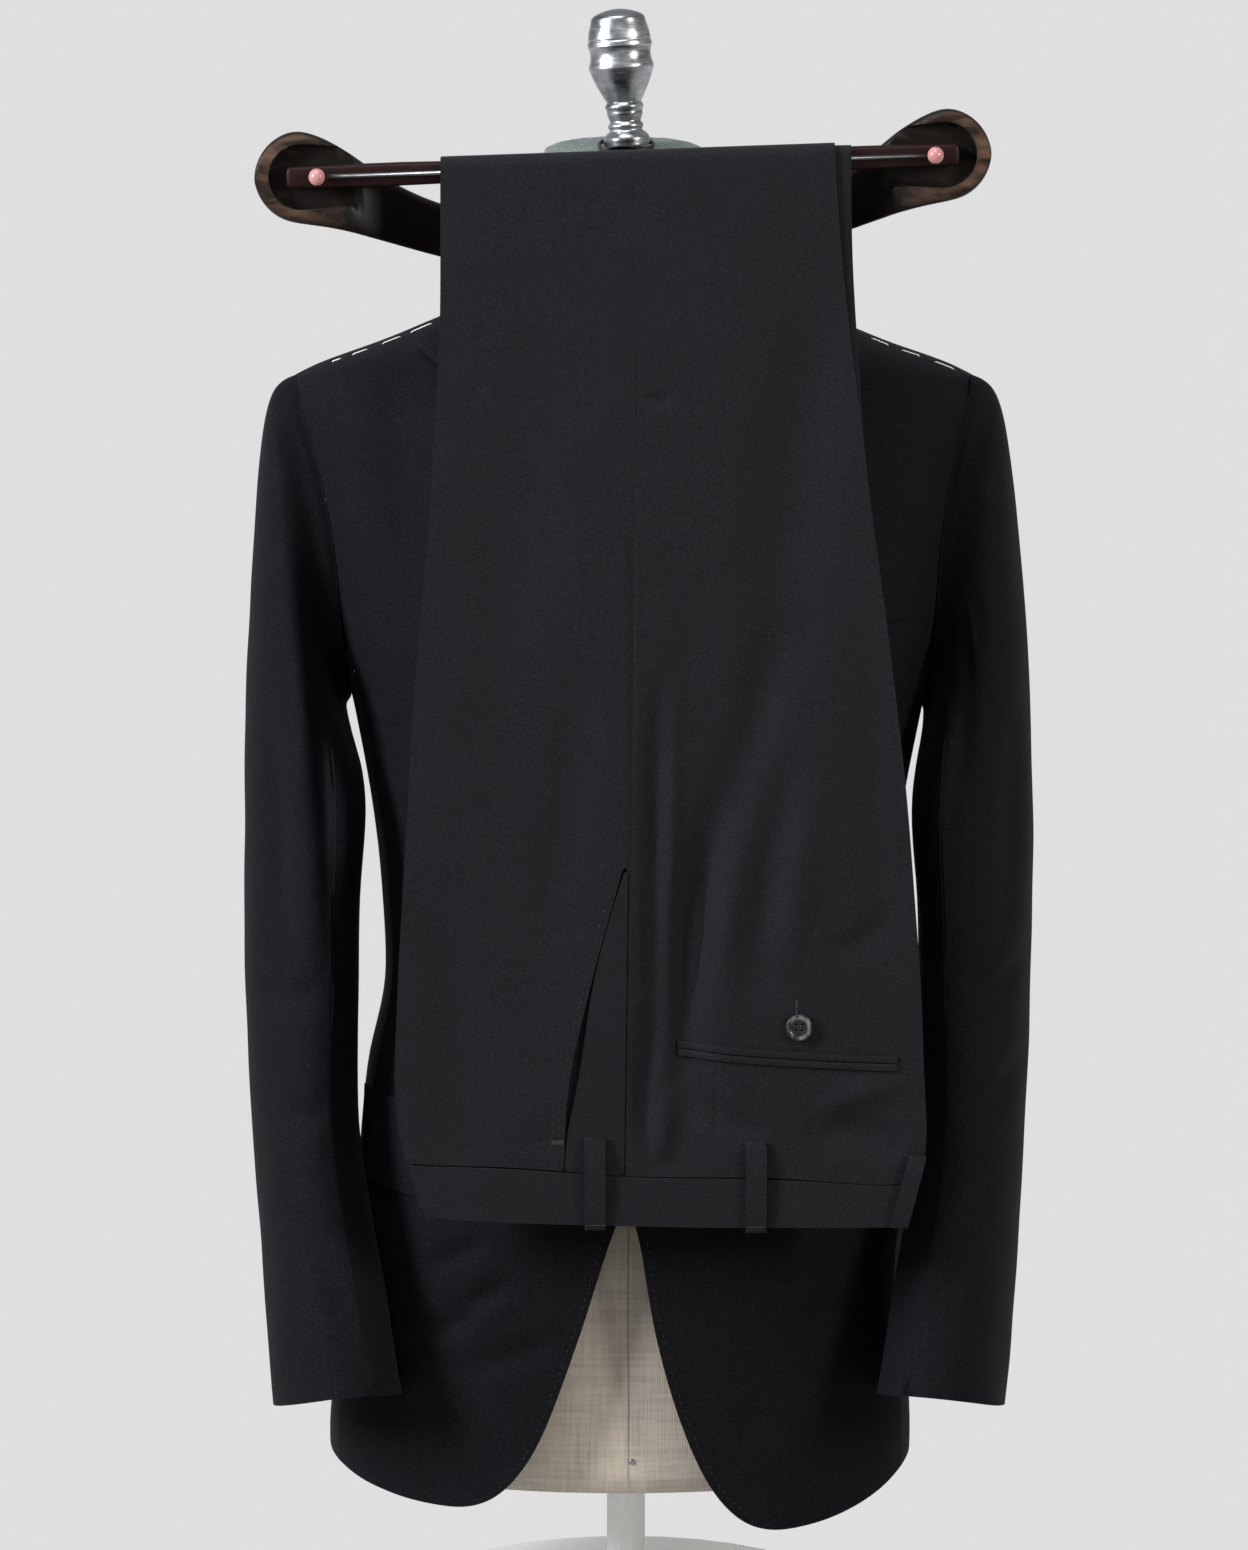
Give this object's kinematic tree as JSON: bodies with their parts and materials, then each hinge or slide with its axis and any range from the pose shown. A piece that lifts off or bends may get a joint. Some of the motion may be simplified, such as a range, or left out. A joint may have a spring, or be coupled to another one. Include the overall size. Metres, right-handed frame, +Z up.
{
  "type": "wool suit on dress form",
  "caption": "Dark wool suit: a jacket worn by a linen dress form, its trousers folded over the bar of a hanger hooked on the neck knob.",
  "frame": {"origin": "centre of the underside of the stand's base", "axes": "+Z up, the front of the suit faces -Y, the wearer's left is +X"},
  "size_m": [0.5122, 0.3198, 1.0483],
  "materials": {
    "jacket_wool": "near-black worsted wool, matt with a faint sheen",
    "trouser_wool": "near-black worsted wool, matt, pressed",
    "horn": "dark mottled horn, half polished",
    "linen": "unbleached linen cover",
    "speckled_board": "green-grey speckled board",
    "cast_metal": "turned grey metal, polished and scuffed",
    "dark_wood": "very dark varnish, worn brown at the rims",
    "bar_wood": "mahogany varnish",
    "steel_wire": "bright drawn wire",
    "clear_stop": "pinkish translucent plastic",
    "stand_paint": "pale satin paint"
  },
  "bodies": {
    "root": {"back_pocket_button": "horn", "back_pocket_welt_lower": "trouser_wool", "back_pocket_welt_upper": "trouser_wool", "belt_loop_back": "trouser_wool", "belt_loop_front": "trouser_wool", "belt_loop_side": "trouser_wool", "breast_welt": "jacket_wool", "clamp_stop_left": "clear_stop", "clamp_stop_right": "clear_stop", "clamp_wire": "steel_wire", "collar": "jacket_wool", "dress_form": "linen", "front_button_1": "horn", "front_button_2": "horn", "hanger_bar": "bar_wood", "hanger_body": "dark_wood", "hanger_hook": "steel_wire", "hip_flap_left": "jacket_wool", "hip_flap_right": "jacket_wool", "jacket_back_left": "jacket_wool", "jacket_back_right": "jacket_wool", "jacket_front_left": "jacket_wool", "jacket_front_right": "jacket_wool", "jacket_side_left": "jacket_wool", "jacket_side_right": "jacket_wool", "lapel_left": "jacket_wool", "lapel_right": "jacket_wool", "neck_knob": "cast_metal", "neck_plate": "speckled_board", "pocket_facing": "trouser_wool", "sleeve_top_left": "jacket_wool", "sleeve_top_right": "jacket_wool", "sleeve_under_left": "jacket_wool", "sleeve_under_right": "jacket_wool", "stand_base": "stand_paint", "stand_stem": "stand_paint", "trouser_back": "trouser_wool", "trouser_front": "trouser_wool", "trouser_layers": "trouser_wool", "waistband": "trouser_wool"}
  },
  "joints": []
}
